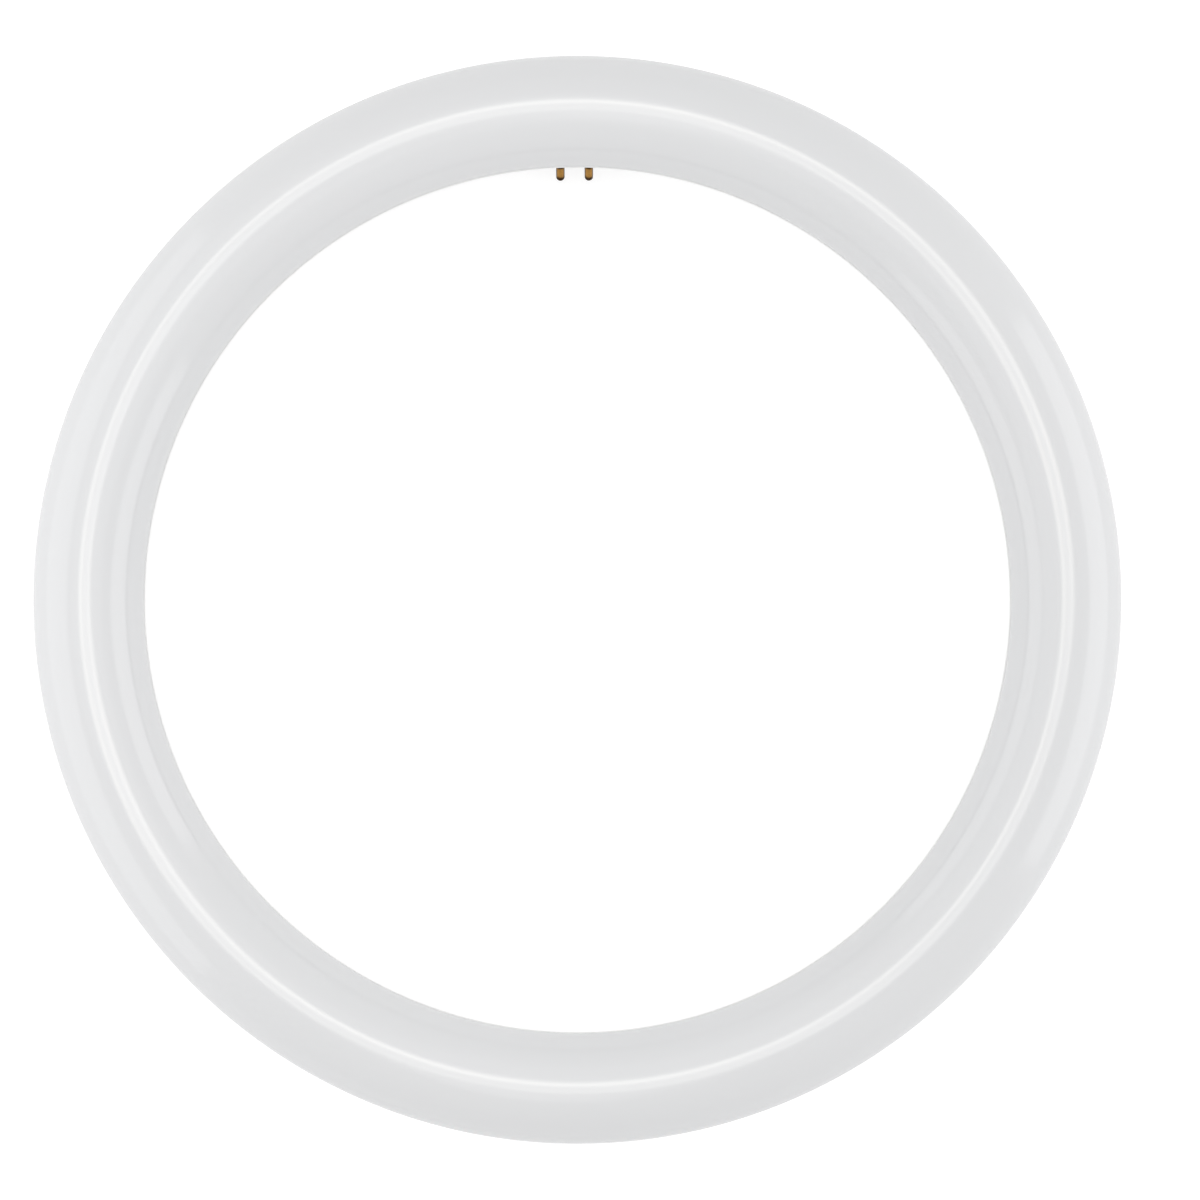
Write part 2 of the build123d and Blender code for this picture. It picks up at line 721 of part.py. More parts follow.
# Leads: insulated wires from the pin straps to the driver, and from it to the first LED board
left_strap_x = -pin_spacing_x / 2
right_strap_x = pin_spacing_x / 2
lead_routes = {
    "lead_live": (
        base_plane.from_local_coords((left_strap_x, 0, strap_back)),
        base_plane.from_local_coords((left_strap_x, 0, strap_back - 4.6)),
        ring_point(96.6, -4.6, -4.0),
        ring_point(100.3, -4.2, -4.8),
        ring_point(100.3, -4.2, driver_deck_height),
    ),
    "lead_neutral": (
        base_plane.from_local_coords((right_strap_x, 0, strap_back)),
        base_plane.from_local_coords((right_strap_x, 0, strap_back - 6.6)),
        ring_point(92.6, 4.6, -5.4),
        ring_point(100.3, 4.2, -5.2),
        ring_point(100.3, 4.2, driver_deck_height),
    ),
}
for side, reach in (("positive", 4.3), ("negative", -4.3)):
    lead_routes[f"lead_led_{side}"] = (
        ring_point(130.6, reach, driver_deck_height),
        ring_point(130.6, reach, -5.6),
        ring_point(136.9, reach, -5.2),
        ring_point(136.9, reach, 2.6),
        ring_point(138.7, reach, 2.6),
        ring_point(138.7, reach, board_top_height),
    )
bend_share = 0.45
for name, points in lead_routes.items():
    radii = []
    for before, corner, after in zip(points, points[1:], points[2:]):
        turn = (corner - before).get_angle(after - corner)
        shorter = min((corner - before).length, (after - corner).length)
        radii.append(bend_share * shorter / tan(radians(turn / 2)))
    print(name, "bend radii", [round(radius, 1) for radius in radii])
    with BuildPart() as lead:
        with BuildLine() as route:
            FilletPolyline(*points, radius=radii)
        with BuildSketch(Plane(route.line @ 0, z_dir=route.line % 0)):
            lead_section = RegularPolygon(lead_radius, lead_sides)
        sweep()
    lead_length = sum(edge.length for edge in route.edges())
    swept_share = lead.part.volume / (lead_section.area * lead_length)
    print(name, "length", round(lead_length, 1), "volume over section by length", round(swept_share, 3))
    lead.part.label = name
    export_step(lead.part, f"parts/{name}.step")
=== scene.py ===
from functools import partial
from math import acos, asin, atan2, cos, degrees, hypot, pi, radians, sin, sqrt, tan

import bmesh
import bpy
from mathutils import Matrix, Vector


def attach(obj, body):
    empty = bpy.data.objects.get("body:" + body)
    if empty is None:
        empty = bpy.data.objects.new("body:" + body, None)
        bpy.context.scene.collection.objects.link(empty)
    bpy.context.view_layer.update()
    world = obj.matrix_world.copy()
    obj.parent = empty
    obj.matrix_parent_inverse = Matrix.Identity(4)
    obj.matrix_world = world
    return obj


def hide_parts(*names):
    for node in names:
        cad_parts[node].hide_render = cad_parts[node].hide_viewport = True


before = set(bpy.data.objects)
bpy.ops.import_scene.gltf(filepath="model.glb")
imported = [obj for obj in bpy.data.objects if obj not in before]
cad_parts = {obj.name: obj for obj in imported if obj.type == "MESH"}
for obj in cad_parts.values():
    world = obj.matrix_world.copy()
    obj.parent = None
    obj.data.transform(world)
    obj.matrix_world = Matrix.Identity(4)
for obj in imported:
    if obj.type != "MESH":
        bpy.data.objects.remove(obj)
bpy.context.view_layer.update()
scene = bpy.context.scene

# Rear housing. A white trough moulded in one piece, with a flat land behind, the gussets and screw
# bosses inside it, and a recess along both rims that the diffuser's tongues click into.
# A window in its inner side takes the pin base, with a sunk seat for a screw on each side.
ring_radius = 0.1346
housing_rim = 0.0154
housing_wall = 0.0018
seam_height = -0.001
land_half_width = 0.004
housing_radius = hypot(housing_rim, seam_height)
housing_inside = housing_radius - housing_wall
land_height = -sqrt(housing_radius**2 - land_half_width**2)
floor_height = land_height + housing_wall
tongue_reach = 0.0136
tongue_tip = seam_height - 0.0033
snap_gap = 0.0001
housing_edge = 0.00015
bead_size = 0.0003
bead_height = 0.0009
recess_floor = seam_height - 0.0035
steps_round_ring = 288
base_tilt = radians(48)
base_frame = Matrix(
    (
        (1, 0, 0, 0),
        (0, -sin(base_tilt), -cos(base_tilt), ring_radius),
        (0, cos(base_tilt), -sin(base_tilt), 0),
        (0, 0, 0, 1),
    )
)


def arc(radius, start, stop, steps):
    """Points on an arc round the tube's centre, between two angles in degrees."""
    angles = [radians(start + (stop - start) * n / steps) for n in range(steps + 1)]
    return [(radius * cos(angle), radius * sin(angle)) for angle in angles]


def both_sides(half):
    """A closed outline: these points, and their mirror image back to the first."""
    return half + [(-x, y) for x, y in reversed(half)]


def softened(outline, radius, steps=3):
    """The outline with each corner sharper than 25 degrees rounded off."""
    points = [Vector(point) for point in outline]
    softer = []
    for before, corner, after in zip(points[-1:] + points[:-1], points, points[1:] + points[:1]):
        into = corner - before
        out = after - corner
        turn = into.angle(out)
        if turn < radians(25):
            softer.append(corner)
            continue
        cut = min(radius * tan(min(turn, radians(150)) / 2), 0.4 * into.length, 0.4 * out.length)
        first = corner - into.normalized() * cut
        last = corner + out.normalized() * cut
        for n in range(steps + 1):
            share = n / steps
            softer.append(first.lerp(corner, share).lerp(corner.lerp(last, share), share))
    return softer


def node_tree(name, **inputs):
    """An empty geometry tree with these named inputs, besides the mesh that it starts from."""
    tree = bpy.data.node_groups.new(name, "GeometryNodeTree")
    tree.interface.new_socket("start", in_out="INPUT", socket_type="NodeSocketGeometry")
    for title, kind in inputs.items():
        tree.interface.new_socket(title, in_out="INPUT", socket_type=kind)
    tree.interface.new_socket("material", in_out="INPUT", socket_type="NodeSocketMaterial")
    tree.interface.new_socket("body", in_out="OUTPUT", socket_type="NodeSocketGeometry")
    given = tree.nodes.new("NodeGroupInput")
    realize = tree.nodes.new("GeometryNodeRealizeInstances")
    surface = tree.nodes.new("GeometryNodeSetMaterial")
    result = tree.nodes.new("NodeGroupOutput")
    tree.links.new(realize.outputs["Geometry"], surface.inputs["Geometry"])
    tree.links.new(given.outputs["material"], surface.inputs["Material"])
    tree.links.new(surface.outputs["Geometry"], result.inputs["body"])
    return tree, given, realize


def grown(tree, start, **inputs):
    """The plain mesh that a tree makes of a starting mesh with these inputs."""
    seed = bpy.data.objects.new(tree.name, start)
    scene.collection.objects.link(seed)
    modifier = seed.modifiers.new(tree.name, "NODES")
    modifier.node_group = tree
    for socket in tree.interface.items_tree:
        if socket.in_out == "INPUT" and socket.name in inputs:
            modifier[socket.identifier] = inputs[socket.name]
    depsgraph = bpy.context.evaluated_depsgraph_get()
    mesh = bpy.data.meshes.new_from_object(seed.evaluated_get(depsgraph))
    bpy.data.objects.remove(seed)
    return mesh


def loft(loops):
    """A closed mesh through loops of points, one after another, capped at both ends."""
    count = len(loops[0])
    last = (len(loops) - 1) * count
    faces = []
    for row in range(0, last, count):
        for n in range(count):
            beside = (n + 1) % count
            faces.append((row + n, row + beside, row + count + beside, row + count + n))
    faces.append(tuple(range(count)))
    faces.append(tuple(range(last, last + count)))
    mesh = bpy.data.meshes.new("loft")
    mesh.from_pydata([point for loop in loops for point in loop], [], faces)
    return mesh


def turned(profile, steps=40):
    """A turned body from the radius and height of each step of its profile."""
    angles = [2 * pi * n / steps for n in range(steps)]
    return loft([[(r * cos(a), r * sin(a), z) for a in angles] for r, z in profile])


def rounded_box(width, depth, corner, levels, steps=6):
    """A block with round corners, from the height of each level and how far its sides draw in."""
    loops = []
    for height, inset in levels:
        loop = []
        for quarter in range(4):
            side_x = 1 if quarter in (0, 3) else -1
            side_y = 1 if quarter in (0, 1) else -1
            radius = max(corner - inset, 1e-5)
            for n in range(steps + 1):
                angle = (quarter + n / steps) * pi / 2
                x = side_x * (width / 2 - corner) + radius * cos(angle)
                y = side_y * (depth / 2 - corner) + radius * sin(angle)
                loop.append((x, y, height))
        loops.append(loop)
    return loft(loops)


def moved(mesh, *places):
    """Copies of a mesh at these places, in one mesh."""
    whole = bmesh.new()
    for place in places:
        copy = mesh.copy()
        copy.transform(place)
        whole.from_mesh(copy)
        bpy.data.meshes.remove(copy)
    result = bpy.data.meshes.new(mesh.name)
    whole.to_mesh(result)
    whole.free()
    return result


def joined(*meshes):
    """Several meshes as one."""
    whole = bmesh.new()
    for mesh in meshes:
        whole.from_mesh(mesh)
    result = bpy.data.meshes.new("joined")
    whole.to_mesh(result)
    whole.free()
    return result


def tidied(mesh, sharp_angle=30):
    """Merges doubled points, turns every face outwards and shades round faces smooth."""
    body = bmesh.new()
    body.from_mesh(mesh)
    bmesh.ops.remove_doubles(body, verts=body.verts, dist=1e-6)
    bmesh.ops.dissolve_degenerate(body, edges=body.edges, dist=1e-7)
    bmesh.ops.recalc_face_normals(body, faces=body.faces)
    body.to_mesh(mesh)
    body.free()
    mesh.shade_smooth()
    mesh.set_sharp_from_angle(angle=radians(sharp_angle))
    return mesh


def combined(mesh, tool, operation):
    """The mesh with a tool body cut out of it or melted to it."""
    work = bpy.data.objects.new("work", tidied(mesh))
    other = bpy.data.objects.new("tool", tidied(tool))
    for item in (work, other):
        scene.collection.objects.link(item)
    modifier = work.modifiers.new("combine", "BOOLEAN")
    modifier.object = other
    modifier.operation = operation
    modifier.solver = "MANIFOLD"
    depsgraph = bpy.context.evaluated_depsgraph_get()
    result = bpy.data.meshes.new_from_object(work.evaluated_get(depsgraph))
    for item in (work, other):
        bpy.data.objects.remove(item)
    return result


def piece(name, mesh, material, slot, *nodes):
    """Puts a finished mesh in the scene as the piece that stands for these nodes."""
    mesh = tidied(mesh)
    mesh.materials.clear()
    mesh.materials.append(material)
    made = bpy.data.objects.new(name, mesh)
    scene.collection.objects.link(made)
    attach(made, "root")
    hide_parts(*nodes)
    return made


# The sweep tree carries a section, drawn with its reach to the right, once round the ring
sweep_tree, given, realize = node_tree(
    "ring_sweep", ring_radius="NodeSocketFloat", steps="NodeSocketInt"
)
outline = sweep_tree.nodes.new("GeometryNodeMeshToCurve")
rail = sweep_tree.nodes.new("GeometryNodeCurvePrimitiveCircle")
skin = sweep_tree.nodes.new("GeometryNodeCurveToMesh")
sweep_tree.links.new(given.outputs["start"], outline.inputs["Mesh"])
sweep_tree.links.new(given.outputs["ring_radius"], rail.inputs["Radius"])
sweep_tree.links.new(given.outputs["steps"], rail.inputs["Resolution"])
sweep_tree.links.new(rail.outputs["Curve"], skin.inputs["Curve"])
sweep_tree.links.new(outline.outputs["Curve"], skin.inputs["Profile Curve"])
sweep_tree.links.new(skin.outputs["Mesh"], realize.inputs["Geometry"])

# The array tree repeats a mesh round the upright axis, at even steps from a first azimuth
array_tree, given, realize = node_tree(
    "round_array", count="NodeSocketInt", first_azimuth="NodeSocketFloat", step="NodeSocketFloat"
)
points = array_tree.nodes.new("GeometryNodePoints")
index = array_tree.nodes.new("GeometryNodeInputIndex")
azimuth = array_tree.nodes.new("ShaderNodeMath")
azimuth.operation = "MULTIPLY_ADD"
in_radians = array_tree.nodes.new("ShaderNodeMath")
in_radians.operation = "RADIANS"
turn = array_tree.nodes.new("ShaderNodeCombineXYZ")
place = array_tree.nodes.new("GeometryNodeInstanceOnPoints")
array_tree.links.new(given.outputs["count"], points.inputs["Count"])
array_tree.links.new(index.outputs["Index"], azimuth.inputs[0])
array_tree.links.new(given.outputs["step"], azimuth.inputs[1])
array_tree.links.new(given.outputs["first_azimuth"], azimuth.inputs[2])
array_tree.links.new(azimuth.outputs["Value"], in_radians.inputs[0])
array_tree.links.new(in_radians.outputs["Value"], turn.inputs["Z"])
array_tree.links.new(points.outputs["Points"], place.inputs["Points"])
array_tree.links.new(given.outputs["start"], place.inputs["Instance"])
array_tree.links.new(turn.outputs["Vector"], place.inputs["Rotation"])
array_tree.links.new(place.outputs["Instances"], realize.inputs["Geometry"])


def swept(outline, material):
    """A closed outline of reach and height, carried once round the ring."""
    count = len(outline)
    section = bpy.data.meshes.new("section")
    edges = [(n, (n + 1) % count) for n in range(count)]
    section.from_pydata([(reach, -height, 0) for reach, height in outline], edges, [])
    return grown(
        sweep_tree, section, ring_radius=ring_radius, steps=steps_round_ring, material=material
    )


# The moulded finish: a slow drift in tone, a fine grain for the bump, and roughness that wanders
moulded_finish = bpy.data.node_groups.new("moulded_finish", "ShaderNodeTree")
for title, kind in (
    ("Vector", "NodeSocketVector"),
    ("Colour", "NodeSocketColor"),
    ("Shade", "NodeSocketColor"),
    ("Drift Scale", "NodeSocketFloat"),
    ("Grain Scale", "NodeSocketFloat"),
    ("Roughness", "NodeSocketFloat"),
    ("Roughness Spread", "NodeSocketFloat"),
):
    moulded_finish.interface.new_socket(title, in_out="INPUT", socket_type=kind)
moulded_finish.interface.new_socket("Colour", in_out="OUTPUT", socket_type="NodeSocketColor")
moulded_finish.interface.new_socket("Roughness", in_out="OUTPUT", socket_type="NodeSocketFloat")
moulded_finish.interface.new_socket("Height", in_out="OUTPUT", socket_type="NodeSocketFloat")
given = moulded_finish.nodes.new("NodeGroupInput")
result = moulded_finish.nodes.new("NodeGroupOutput")
drift = moulded_finish.nodes.new("ShaderNodeTexNoise")
drift.inputs["Detail"].default_value = 2
grain = moulded_finish.nodes.new("ShaderNodeTexNoise")
grain.inputs["Detail"].default_value = 3
blend = moulded_finish.nodes.new("ShaderNodeMix")
blend.data_type = "RGBA"
rise = moulded_finish.nodes.new("ShaderNodeMath")
rise.operation = "SUBTRACT"
rise.inputs[1].default_value = 0.5
wander = moulded_finish.nodes.new("ShaderNodeMath")
wander.operation = "MULTIPLY_ADD"
for source, target in (
    (given.outputs["Vector"], drift.inputs["Vector"]),
    (given.outputs["Drift Scale"], drift.inputs["Scale"]),
    (given.outputs["Vector"], grain.inputs["Vector"]),
    (given.outputs["Grain Scale"], grain.inputs["Scale"]),
    (drift.outputs["Fac"], blend.inputs["Factor"]),
    (given.outputs["Colour"], blend.inputs["A"]),
    (given.outputs["Shade"], blend.inputs["B"]),
    (drift.outputs["Fac"], rise.inputs[0]),
    (rise.outputs["Value"], wander.inputs[0]),
    (given.outputs["Roughness Spread"], wander.inputs[1]),
    (given.outputs["Roughness"], wander.inputs[2]),
    (blend.outputs["Result"], result.inputs["Colour"]),
    (wander.outputs["Value"], result.inputs["Roughness"]),
    (grain.outputs["Fac"], result.inputs["Height"]),
):
    moulded_finish.links.new(source, target)


def finish(
    name, colour, shade, roughness, spread, drift_scale, grain_scale, bump, depth, **sockets
):
    """A material with the moulded finish."""
    material = bpy.data.materials.new(name)
    material.use_nodes = True
    nodes = material.node_tree.nodes
    links = material.node_tree.links
    shader = nodes["Principled BSDF"]
    for title, value in sockets.items():
        shader.inputs[title.replace("_", " ").title().replace("Ior", "IOR")].default_value = value
    coords = nodes.new("ShaderNodeTexCoord")
    turn = nodes.new("ShaderNodeMapping")
    group = nodes.new("ShaderNodeGroup")
    group.node_tree = moulded_finish
    group.inputs["Colour"].default_value = (*colour, 1)
    group.inputs["Shade"].default_value = (*shade, 1)
    group.inputs["Drift Scale"].default_value = drift_scale
    group.inputs["Grain Scale"].default_value = grain_scale
    group.inputs["Roughness"].default_value = roughness
    group.inputs["Roughness Spread"].default_value = spread
    relief = nodes.new("ShaderNodeBump")
    relief.inputs["Strength"].default_value = bump
    relief.inputs["Distance"].default_value = depth
    links.new(coords.outputs["Object"], turn.inputs["Vector"])
    links.new(turn.outputs["Vector"], group.inputs["Vector"])
    links.new(group.outputs["Colour"], shader.inputs["Base Color"])
    links.new(group.outputs["Roughness"], shader.inputs["Roughness"])
    links.new(group.outputs["Height"], relief.inputs["Height"])
    links.new(relief.outputs["Normal"], shader.inputs["Normal"])
    return material


white_plastic = finish(
    "white_plastic",
    colour=(0.90, 0.90, 0.89), shade=(0.87, 0.875, 0.875),
    roughness=0.24, spread=0.08, drift_scale=40, grain_scale=2600, bump=0.12, depth=0.00002,
)
rim_angle = degrees(asin(seam_height / housing_radius))
land_angle = -degrees(acos(land_half_width / housing_radius))
step_angle = degrees(asin(recess_floor / housing_inside))
floor_angle = degrees(asin(floor_height / housing_inside))
recess_reach = tongue_reach + snap_gap
housing_section = softened(
    both_sides(
        arc(housing_radius, land_angle, rim_angle, 44)
        + [
            (recess_reach, seam_height),
            (recess_reach, tongue_tip + bead_height + bead_size),
            (recess_reach + bead_size, tongue_tip + bead_height),
            (recess_reach, recess_floor),
        ]
        + arc(housing_inside, step_angle, floor_angle, 20)
    ),
    housing_edge,
)
trough = swept(housing_section, white_plastic)

gusset_count = 12
first_gusset = 15.0
gusset_thickness = 0.0012
gusset_reaches = (0.0068, 0.0125)
seat_height = -0.0015
wall_middle = housing_radius - housing_wall / 2
foot_angles = [-degrees(acos(reach / wall_middle)) for reach in gusset_reaches]
gusset_side = arc(wall_middle, foot_angles[0], foot_angles[1], 6)
gusset_side += [(gusset_reaches[1], seat_height), (gusset_reaches[0], seat_height)]
gusset_sides = [
    [(ring_radius + side * reach, across, height) for reach, height in gusset_side]
    for side in (1, -1)
    for across in (gusset_thickness / 2, -gusset_thickness / 2)
]
gussets = joined(loft(gusset_sides[:2]), loft(gusset_sides[2:]))
gussets = grown(
    array_tree,
    gussets,
    count=gusset_count,
    first_azimuth=first_gusset,
    step=360 / gusset_count,
    material=white_plastic,
)

board_count = 4
board_span = 360 / board_count
board_seam = 137.0
screw_offsets = (7.5, 86.25)
boss_radius = 0.0025
boss_foot = floor_height - housing_wall / 4
pilot_radius = 0.00103
pilot_end = seat_height - 0.0065
boss = turned(
    [
        (boss_radius, boss_foot),
        (boss_radius, seat_height),
        (pilot_radius, seat_height),
        (pilot_radius, pilot_end),
        (0, pilot_end),
    ],
    32,
)
pair = [
    Matrix.Rotation(radians(offset), 4, "Z") @ Matrix.Translation((ring_radius, 0, 0))
    for offset in screw_offsets
]
bosses = grown(
    array_tree,
    moved(boss, *pair),
    count=board_count,
    first_azimuth=board_seam,
    step=board_span,
    material=white_plastic,
)

post_azimuths = (99.8, 130.6)
post_radius = 0.0016
post_top = -0.0116
peg_radius = 0.0008
peg_top = -0.0097
peg_bevel = 0.0002
rest_azimuth = 115.2
rest_reach = 0.005
peg = turned(
    [
        (post_radius, boss_foot),
        (post_radius, post_top),
        (peg_radius, post_top),
        (peg_radius, peg_top - peg_bevel),
        (peg_radius - peg_bevel, peg_top),
        (0, peg_top),
    ],
    24,
)
rest = turned([(post_radius, boss_foot), (post_radius, post_top)], 24)
pegs = moved(
    peg,
    *[
        Matrix.Rotation(radians(azimuth), 4, "Z") @ Matrix.Translation((ring_radius, 0, 0))
        for azimuth in post_azimuths
    ],
)
rests = moved(
    rest,
    *[
        Matrix.Rotation(radians(rest_azimuth), 4, "Z")
        @ Matrix.Translation((ring_radius + reach, 0, 0))
        for reach in (-rest_reach, rest_reach)
    ],
)
ear_front = 0.0129
base_screw_reach = 0.0135
base_screw_floor = 0.0142
seat_radius = 0.0030
seat_top = base_screw_floor + 0.0007
screw_seat = turned([(seat_radius, ear_front), (seat_radius, seat_top)], 32)
screw_sides = [
    base_frame @ Matrix.Translation((side * base_screw_reach, 0, 0)) for side in (-1, 1)
]
trough = combined(trough, joined(gussets, bosses, pegs, rests), "UNION")
trough = combined(trough, moved(screw_seat, *screw_sides), "UNION")

block_width = 0.0178
block_depth = 0.0120
block_corner = 0.0020
window_gap = 0.0001
window_start = 0.0090
window_stop = 0.0235
window = rounded_box(
    block_width + 2 * window_gap,
    block_depth + 2 * window_gap,
    block_corner + window_gap,
    [(window_start, 0), (window_stop, 0)],
)
clearance_radius = 0.00135
clearance_start = 0.0120
counterbore_radius = 0.0025
counterbore_stop = 0.0210
sunk_seat = turned(
    [
        (clearance_radius, clearance_start),
        (clearance_radius, base_screw_floor),
        (counterbore_radius, base_screw_floor),
        (counterbore_radius, counterbore_stop),
    ],
    40,
)
trough = combined(trough, moved(window, base_frame), "DIFFERENCE")
trough = combined(trough, moved(sunk_seat, *screw_sides), "DIFFERENCE")
piece("housing_shell", trough, white_plastic, "housing", "rear_housing")

# Base block. Satin white plastic, moulded with two ears that lie behind the housing's wall. It
# stands out through the window and holds the four pins, each in a slightly sunk hole.
base_plastic = finish(
    "base_plastic",
    colour=(0.90, 0.90, 0.885), shade=(0.86, 0.865, 0.86),
    roughness=0.42, spread=0.10, drift_scale=120, grain_scale=5200, bump=0.25, depth=0.00003,
)
block_face = 0.0158
block_back = 0.0095
pocket_floor = 0.0110
pin_side = 0.00396
pin_rise = 0.003175
shank_radius = 0.0016
shank_bevel = 0.0002
pin_play = 0.00003
pin_places = [(x, y) for y in (pin_rise, -pin_rise) for x in (-pin_side, pin_side)]
edge_radius = 0.0007
edge_levels = []
for n in range(7):
    turn = radians(15 * n)
    edge_levels.append(
        (block_face - edge_radius + edge_radius * sin(turn), edge_radius - edge_radius * cos(turn))
    )
block = rounded_box(block_width, block_depth, block_corner, [(block_back, 0)] + edge_levels)
ear_span = 0.0330
ear_depth = 0.0064
ear_corner = 0.0020
ear_back = 0.0099
ear_bevel = 0.0003
ears = rounded_box(
    ear_span,
    ear_depth,
    ear_corner,
    [
        (ear_back, ear_bevel),
        (ear_back + ear_bevel, 0),
        (ear_front - ear_bevel, 0),
        (ear_front, ear_bevel),
    ],
)
block = combined(block, ears, "UNION")
pocket_width = 0.0154
pocket_depth = 0.0104
pocket_corner = 0.0012
cut_past = 0.0005
pocket = rounded_box(
    pocket_width, pocket_depth, pocket_corner, [(block_back - cut_past, 0), (pocket_floor, 0)]
)
hole_flare = 0.00035
pin_hole = turned(
    [
        (shank_radius + pin_play, pocket_floor - cut_past),
        (shank_radius + pin_play, block_face - shank_bevel),
        (shank_radius + hole_flare, block_face + 0.0001),
    ],
    48,
)
ear_hole_radius = 0.00113
ear_hole_start = 0.0090
ear_hole_stop = 0.0140
ear_hole = turned([(ear_hole_radius, ear_hole_start), (ear_hole_radius, ear_hole_stop)], 24)
holes = moved(pin_hole, *[Matrix.Translation((x, y, 0)) for x, y in pin_places])
ear_holes = moved(
    ear_hole, *[Matrix.Translation((side * base_screw_reach, 0, 0)) for side in (-1, 1)]
)
block = combined(block, pocket, "DIFFERENCE")
block = combined(block, joined(holes, ear_holes), "DIFFERENCE")
piece("pin_block", moved(block, base_frame), base_plastic, "base_plastic", "base_block")

# Contact pins. Turned from brass rod with a round end, and pushed into the block from behind up
# to a collar. Their tips, their feet at the block and their two sides are painted dark brown:
# painted shade at the round end, a painted shadow of the block's edge and a painted dark reflection
# along the sides, with some tarnish from handling and heat.
turned_brass = finish(
    "turned_brass",
    colour=(0.45, 0.245, 0.066), shade=(0.29, 0.145, 0.034),
    roughness=0.25, spread=0.20, drift_scale=900, grain_scale=1500, bump=0.35, depth=0.00001,
    metallic=1.0,
)
pin_end = 0.0224
pin_radius = 0.00118
turning_marks = (0.05, 0.05, 6)
# Painted shade and tarnish: the dark brown put on the pins' tips, feet and sides.
tarnish_and_shade_colour = (0.042, 0.021, 0.009)
tarnish_and_shade_roughness = 0.2
shade_mask_noise_scale = 1400
shade_mask_wobble = 0.0008
side_wobble_share = 0.4
shade_mask_limits = {
    "Tip Start": pin_end - 0.0026,
    "Tip End": pin_end - 0.0013,
    "Foot Start": block_face + 0.0022,
    "Foot End": block_face + 0.0013,
    "Axis Offset": pin_side,
    "Side Start": 0.00075,
    "Side End": 0.00115,
}

# The mask for painted shade and tarnish, with an uneven edge. It is full at a pin's tip (painted
# shade at the round end, and some tarnish), where the pin leaves the block (a painted shadow of the
# block's edge), and on its two sides (a painted dark reflection).
tarnish_and_shade = bpy.data.node_groups.new("tarnish_and_shade", "ShaderNodeTree")
tarnish_and_shade.interface.new_socket("Vector", in_out="INPUT", socket_type="NodeSocketVector")
for title in shade_mask_limits:
    tarnish_and_shade.interface.new_socket(title, in_out="INPUT", socket_type="NodeSocketFloat")
tarnish_and_shade.interface.new_socket("Mask", in_out="OUTPUT", socket_type="NodeSocketFloat")
given = tarnish_and_shade.nodes.new("NodeGroupInput")
result = tarnish_and_shade.nodes.new("NodeGroupOutput")
place = tarnish_and_shade.nodes.new("ShaderNodeSeparateXYZ")
tarnish_and_shade.links.new(given.outputs["Vector"], place.inputs["Vector"])
uneven = tarnish_and_shade.nodes.new("ShaderNodeTexNoise")
uneven.inputs["Scale"].default_value = shade_mask_noise_scale
tarnish_and_shade.links.new(given.outputs["Vector"], uneven.inputs["Vector"])


def feed(tree, socket, value):
    """Sets an input of a node to a plain number, or links it to another node's output."""
    if isinstance(value, bpy.types.NodeSocket):
        tree.links.new(value, socket)
    else:
        socket.default_value = value


def math_node(tree, operation, *values):
    """The result of a math node in a tree."""
    node = tree.nodes.new("ShaderNodeMath")
    node.operation = operation
    for socket, value in zip(node.inputs, values):
        feed(tree, socket, value)
    return node.outputs["Value"]


def step_node(tree, value, off, on, low=0.0):
    """A share that goes smoothly from low to 1 as a value goes from off to on."""
    node = tree.nodes.new("ShaderNodeMapRange")
    node.interpolation_type = "SMOOTHSTEP"
    feed(tree, node.inputs["Value"], value)
    feed(tree, node.inputs["From Min"], off)
    feed(tree, node.inputs["From Max"], on)
    feed(tree, node.inputs["To Min"], low)
    return node.outputs["Result"]


in_shade_mask = partial(math_node, tarnish_and_shade)
limits = given.outputs
wobble = in_shade_mask("MULTIPLY_ADD", uneven.outputs["Fac"], shade_mask_wobble, -shade_mask_wobble / 2)
height = in_shade_mask("ADD", place.outputs["Z"], wobble)
reach = in_shade_mask("ABSOLUTE", place.outputs["X"])
reach = in_shade_mask("SUBTRACT", reach, limits["Axis Offset"])
reach = in_shade_mask("ABSOLUTE", reach)
reach = in_shade_mask("MULTIPLY_ADD", wobble, side_wobble_share, reach)
# Tip: painted shade with some tarnish; foot: painted shadow of the block's edge; sides: painted
# dark reflection.
tip = step_node(tarnish_and_shade, height, limits["Tip Start"], limits["Tip End"])
foot = step_node(tarnish_and_shade, height, limits["Foot Start"], limits["Foot End"])
side = step_node(tarnish_and_shade, reach, limits["Side Start"], limits["Side End"])
mask = in_shade_mask("MAXIMUM", tip, in_shade_mask("MAXIMUM", foot, side))
tarnish_and_shade.links.new(mask, result.inputs["Mask"])

nodes = turned_brass.node_tree.nodes
links = turned_brass.node_tree.links
to_base = nodes["Mapping"]
to_base.vector_type = "TEXTURE"
to_base.inputs["Location"].default_value = base_frame.translation
to_base.inputs["Rotation"].default_value = (base_tilt + pi / 2, 0, 0)
rings = nodes.new("ShaderNodeVectorMath")
rings.operation = "MULTIPLY"
rings.inputs[1].default_value = turning_marks
darkened = nodes.new("ShaderNodeGroup")
darkened.node_tree = tarnish_and_shade
for title, value in shade_mask_limits.items():
    darkened.inputs[title].default_value = value
